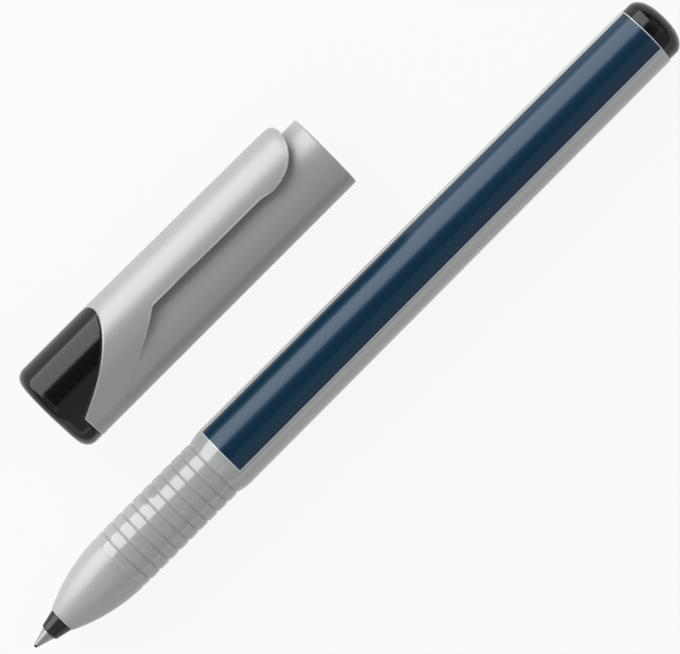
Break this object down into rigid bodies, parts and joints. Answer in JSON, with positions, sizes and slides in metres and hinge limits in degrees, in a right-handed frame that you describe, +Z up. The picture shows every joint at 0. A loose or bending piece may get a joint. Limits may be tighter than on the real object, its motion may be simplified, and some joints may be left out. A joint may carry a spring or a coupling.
{
  "type": "non-permanent marker",
  "caption": "Slim fibre-tip marker with metal-sleeved point, ribbed grip and black end plug, lying beside its pulled-off clip cap.",
  "frame": {"origin": "middle of the underside of the box round pen and cap, on the surface that both lie on", "axes": "+X along the pen from the nib to the end plug, +Y from the pen to the cap beside it, +Z up"},
  "size_m": [0.1256, 0.034, 0.0139],
  "materials": {
    "barrel_plastic": "moulded, satin",
    "black_plastic": "moulded, glossy",
    "holder_plastic": "moulded, glossy",
    "sleeve_metal": "turned",
    "nib_fibre": "inked fibre",
    "ink_fibre": "inked fibre bundle",
    "film_plastic": "thin film",
    "cap_plastic": "moulded, satin",
    "insert_plastic": "moulded, glossy"
  },
  "bodies": {
    "pen": {"barrel": "barrel_plastic", "end_plug": "black_plastic", "nib_holder": "holder_plastic", "nib_sleeve": "sleeve_metal", "nib": "nib_fibre", "ink_reservoir": "ink_fibre", "reservoir_film": "film_plastic"},
    "cap": {"cap_shell": "cap_plastic", "cap_insert": "insert_plastic"}
  },
  "joints": [
    {"name": "cap_slide", "type": "slide", "parent": "pen", "child": "cap", "axis": [-1, 0, 0], "range_m": [0, 0.081]}
  ]
}
